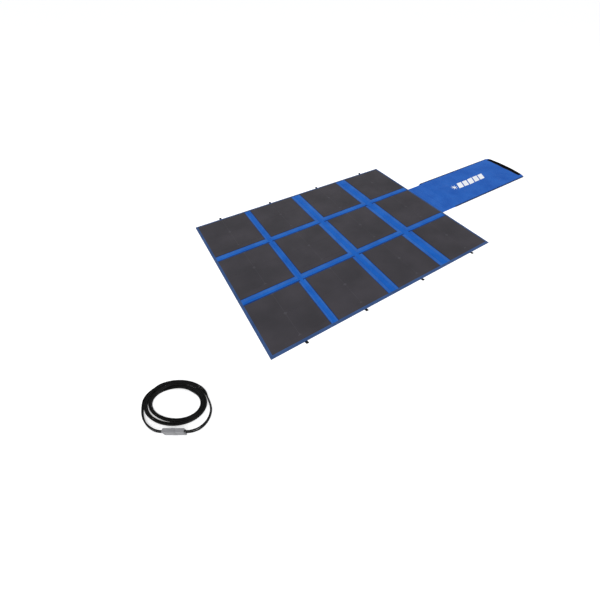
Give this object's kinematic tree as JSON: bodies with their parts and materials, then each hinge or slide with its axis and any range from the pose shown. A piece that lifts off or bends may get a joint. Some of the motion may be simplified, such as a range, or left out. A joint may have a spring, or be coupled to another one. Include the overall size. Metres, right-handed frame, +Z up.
{
  "type": "folding solar blanket",
  "caption": "Folding fabric solar blanket with laminated panels, edge tie loops, a storage pocket on a flap, and a coiled lead with mated plugs.",
  "frame": {"origin": "on the ground, under the middle of the box round the unfolded blanket and its flap, without the lead", "axes": "+X along the columns from the blanket to the flap, +Y from the front edge to the back edge, +Z up, away from the ground"},
  "size_m": [2.9761, 1.3106, 0.0368],
  "materials": {
    "backing_fabric": "coated woven polyester",
    "pouch_fabric": "coated woven polyester",
    "edge_binding": "woven binding tape",
    "black_webbing": "woven webbing",
    "solar_panel": "matte textured front film over dark cells",
    "junction_plastic": "fine texture",
    "wire_jacket": "smooth flexible jacket",
    "plug_plastic": "fine moulded texture",
    "contact_metal": "silver plate"
  },
  "bodies": {
    "pouch_base": {"pouch_base_sheet": "pouch_fabric", "pouch_inner_top": "pouch_fabric", "pouch_inner_binding": "edge_binding", "junction_box_base": "junction_plastic", "junction_box_lid": "junction_plastic"},
    "flap_strip": {"flap_strip": "pouch_fabric"},
    "pouch_fold": {"pouch_fold_strip": "pouch_fabric"},
    "pouch_cover": {"pouch_cover_sheet": "pouch_fabric", "pouch_outer_top": "pouch_fabric", "pouch_outer_binding": "edge_binding", "pouch_mouth_strip": "black_webbing"},
    "front_1": {"backing_front_1": "backing_fabric", "solar_panel_front_1": "solar_panel", "tie_loop_front_1": "black_webbing"},
    "middle_1": {"backing_middle_1": "backing_fabric", "solar_panel_middle_1": "solar_panel"},
    "back_1": {"backing_back_1": "backing_fabric", "solar_panel_back_1": "solar_panel", "tie_loop_back_1": "black_webbing"},
    "front_2": {"backing_front_2": "backing_fabric", "solar_panel_front_2": "solar_panel", "tie_loop_front_2": "black_webbing"},
    "middle_2": {"backing_middle_2": "backing_fabric", "solar_panel_middle_2": "solar_panel"},
    "back_2": {"backing_back_2": "backing_fabric", "solar_panel_back_2": "solar_panel", "tie_loop_back_2": "black_webbing"},
    "front_3": {"backing_front_3": "backing_fabric", "solar_panel_front_3": "solar_panel", "tie_loop_front_3": "black_webbing"},
    "middle_3": {"backing_middle_3": "backing_fabric", "solar_panel_middle_3": "solar_panel"},
    "back_3": {"backing_back_3": "backing_fabric", "solar_panel_back_3": "solar_panel", "tie_loop_back_3": "black_webbing"},
    "front_4": {"backing_front_4": "backing_fabric", "solar_panel_front_4": "solar_panel", "tie_loop_front_4": "black_webbing"},
    "middle_4": {"backing_middle_4": "backing_fabric", "solar_panel_middle_4": "solar_panel"},
    "back_4": {"backing_back_4": "backing_fabric", "solar_panel_back_4": "solar_panel", "tie_loop_back_4": "black_webbing"},
    "front_fold_12": {"column_strip_front_12": "backing_fabric"},
    "middle_fold_12": {"column_strip_middle_12": "backing_fabric"},
    "back_fold_12": {"column_strip_back_12": "backing_fabric"},
    "front_fold_23": {"column_strip_front_23": "backing_fabric"},
    "middle_fold_23": {"column_strip_middle_23": "backing_fabric"},
    "back_fold_23": {"column_strip_back_23": "backing_fabric"},
    "front_fold_34": {"column_strip_front_34": "backing_fabric"},
    "middle_fold_34": {"column_strip_middle_34": "backing_fabric"},
    "back_fold_34": {"column_strip_back_34": "backing_fabric"},
    "lead": {"lead_coil": "wire_jacket", "lead_wire_lower_left": "wire_jacket", "lead_wire_upper_left": "wire_jacket", "lead_wire_lower_right": "wire_jacket", "lead_wire_upper_right": "wire_jacket", "lead_plug_left": "plug_plastic", "lead_plug_right": "plug_plastic", "lead_plug_contacts": "contact_metal"}
  },
  "joints": [
    {"name": "pack_roll", "type": "hinge", "parent": "pouch_base", "child": "flap_strip", "pos_m": [0.33885, 0, 0.0006], "axis": [0, 1, 0], "range_deg": [0, 90]},
    {"name": "pack_roll_far", "type": "hinge", "parent": "flap_strip", "child": "middle_4", "pos_m": [0.28605, 0, 0.0006], "axis": [0, 1, 0], "range_deg": [0, 90]},
    {"name": "cover_wrap", "type": "hinge", "parent": "pouch_base", "child": "pouch_fold", "pos_m": [0.71285, 0, 0.0006], "axis": [0, -1, 0], "range_deg": [0, 90]},
    {"name": "cover_wrap_far", "type": "hinge", "parent": "pouch_fold", "child": "pouch_cover", "pos_m": [0.78195, 0, 0.0006], "axis": [0, -1, 0], "range_deg": [0, 90]},
    {"name": "column_fold_34", "type": "hinge", "parent": "middle_4", "child": "middle_fold_34", "pos_m": [-0.0797, 0, 0.0006], "axis": [0, 1, 0], "range_deg": [0, 90]},
    {"name": "column_fold_34_far", "type": "hinge", "parent": "middle_fold_34", "child": "middle_3", "pos_m": [-0.1202, 0, 0.0006], "axis": [0, 1, 0], "range_deg": [0, 90]},
    {"name": "column_fold_23", "type": "hinge", "parent": "middle_3", "child": "middle_fold_23", "pos_m": [-0.48345, 0, 0.0006], "axis": [0, 1, 0], "range_deg": [0, 90]},
    {"name": "column_fold_23_far", "type": "hinge", "parent": "middle_fold_23", "child": "middle_2", "pos_m": [-0.51345, 0, 0.0006], "axis": [0, 1, 0], "range_deg": [0, 90]},
    {"name": "column_fold_12", "type": "hinge", "parent": "middle_2", "child": "middle_fold_12", "pos_m": [-0.8657, 0, 0.0006], "axis": [0, 1, 0], "range_deg": [0, 90]},
    {"name": "column_fold_12_far", "type": "hinge", "parent": "middle_fold_12", "child": "middle_1", "pos_m": [-0.8852, 0, 0.0006], "axis": [0, 1, 0], "range_deg": [0, 90]},
    {"name": "back_row_fold", "type": "hinge", "parent": "middle_4", "child": "back_4", "pos_m": [0.10205, 0.2, 0.00335], "axis": [1, 0, 0], "range_deg": [0, 180]},
    {"name": "back_row_fold_fold_34", "type": "hinge", "parent": "middle_fold_34", "child": "back_fold_34", "pos_m": [-0.09995, 0.2, 0.00335], "axis": [1, 0, 0], "range_deg": [0, 180]},
    {"name": "back_row_fold_3", "type": "hinge", "parent": "middle_3", "child": "back_3", "pos_m": [-0.30295, 0.2, 0.00335], "axis": [1, 0, 0], "range_deg": [0, 180]},
    {"name": "back_row_fold_fold_23", "type": "hinge", "parent": "middle_fold_23", "child": "back_fold_23", "pos_m": [-0.49895, 0.2, 0.00335], "axis": [1, 0, 0], "range_deg": [0, 180]},
    {"name": "back_row_fold_2", "type": "hinge", "parent": "middle_2", "child": "back_2", "pos_m": [-0.69495, 0.2, 0.00335], "axis": [1, 0, 0], "range_deg": [0, 180]},
    {"name": "back_row_fold_fold_12", "type": "hinge", "parent": "middle_fold_12", "child": "back_fold_12", "pos_m": [-0.87595, 0.2, 0.00335], "axis": [1, 0, 0], "range_deg": [0, 180]},
    {"name": "back_row_fold_1", "type": "hinge", "parent": "middle_1", "child": "back_1", "pos_m": [-1.05695, 0.2, 0.00335], "axis": [1, 0, 0], "range_deg": [0, 180]},
    {"name": "front_row_fold", "type": "hinge", "parent": "middle_4", "child": "front_4", "pos_m": [0.10205, -0.2, 0.0051], "axis": [-1, 0, 0], "range_deg": [0, 180]},
    {"name": "front_row_fold_fold_34", "type": "hinge", "parent": "middle_fold_34", "child": "front_fold_34", "pos_m": [-0.09995, -0.2, 0.0051], "axis": [-1, 0, 0], "range_deg": [0, 180]},
    {"name": "front_row_fold_3", "type": "hinge", "parent": "middle_3", "child": "front_3", "pos_m": [-0.30295, -0.2, 0.0051], "axis": [-1, 0, 0], "range_deg": [0, 180]},
    {"name": "front_row_fold_fold_23", "type": "hinge", "parent": "middle_fold_23", "child": "front_fold_23", "pos_m": [-0.49895, -0.2, 0.0051], "axis": [-1, 0, 0], "range_deg": [0, 180]},
    {"name": "front_row_fold_2", "type": "hinge", "parent": "middle_2", "child": "front_2", "pos_m": [-0.69495, -0.2, 0.0051], "axis": [-1, 0, 0], "range_deg": [0, 180]},
    {"name": "front_row_fold_fold_12", "type": "hinge", "parent": "middle_fold_12", "child": "front_fold_12", "pos_m": [-0.87595, -0.2, 0.0051], "axis": [-1, 0, 0], "range_deg": [0, 180]},
    {"name": "front_row_fold_1", "type": "hinge", "parent": "middle_1", "child": "front_1", "pos_m": [-1.05695, -0.2, 0.0051], "axis": [-1, 0, 0], "range_deg": [0, 180]},
    {"name": "lead_slide", "type": "slide", "parent": "pouch_base", "child": "lead", "axis": [-1, 0, 0], "range_m": [0, 0.25]}
  ],
  "couplings": [
    {"joint": "pack_roll_far", "follows": "pack_roll", "ratio": 1},
    {"joint": "cover_wrap_far", "follows": "cover_wrap", "ratio": 1},
    {"joint": "column_fold_34_far", "follows": "column_fold_34", "ratio": 1},
    {"joint": "column_fold_23_far", "follows": "column_fold_23", "ratio": 1},
    {"joint": "column_fold_12_far", "follows": "column_fold_12", "ratio": 1},
    {"joint": "back_row_fold_fold_34", "follows": "back_row_fold", "ratio": 1},
    {"joint": "back_row_fold_3", "follows": "back_row_fold", "ratio": 1},
    {"joint": "back_row_fold_fold_23", "follows": "back_row_fold", "ratio": 1},
    {"joint": "back_row_fold_2", "follows": "back_row_fold", "ratio": 1},
    {"joint": "back_row_fold_fold_12", "follows": "back_row_fold", "ratio": 1},
    {"joint": "back_row_fold_1", "follows": "back_row_fold", "ratio": 1},
    {"joint": "front_row_fold_fold_34", "follows": "front_row_fold", "ratio": 1},
    {"joint": "front_row_fold_3", "follows": "front_row_fold", "ratio": 1},
    {"joint": "front_row_fold_fold_23", "follows": "front_row_fold", "ratio": 1},
    {"joint": "front_row_fold_2", "follows": "front_row_fold", "ratio": 1},
    {"joint": "front_row_fold_fold_12", "follows": "front_row_fold", "ratio": 1},
    {"joint": "front_row_fold_1", "follows": "front_row_fold", "ratio": 1}
  ]
}
